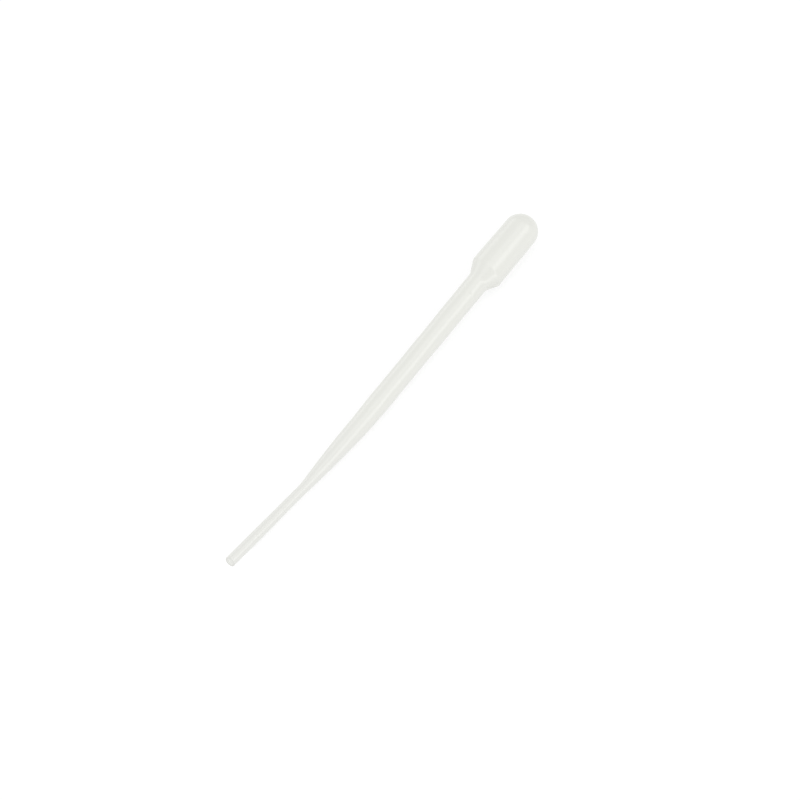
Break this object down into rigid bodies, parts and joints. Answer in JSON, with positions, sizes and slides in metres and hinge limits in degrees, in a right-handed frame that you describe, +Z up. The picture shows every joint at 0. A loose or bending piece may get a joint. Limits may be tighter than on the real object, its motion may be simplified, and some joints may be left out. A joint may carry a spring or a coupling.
{
  "type": "plastic dropper pipette",
  "caption": "Disposable dropper pipette: a hollow soft plastic squeeze bulb on a slim stem that draws down to a fine open tip, for moving small amounts of liquid.",
  "frame": {"origin": "middle of the pipette's box at floor level, as the pipette lies at rest", "axes": "+X along the pipette from the tip towards the bulb, +Y to the side the tip bends to, +Z up"},
  "size_m": [0.1502, 0.0114, 0.0117],
  "materials": {
    "soft_polyethylene": "satin, milky, see-through in thin places"
  },
  "bodies": {
    "root": {"pipette": "soft_polyethylene"}
  },
  "joints": []
}
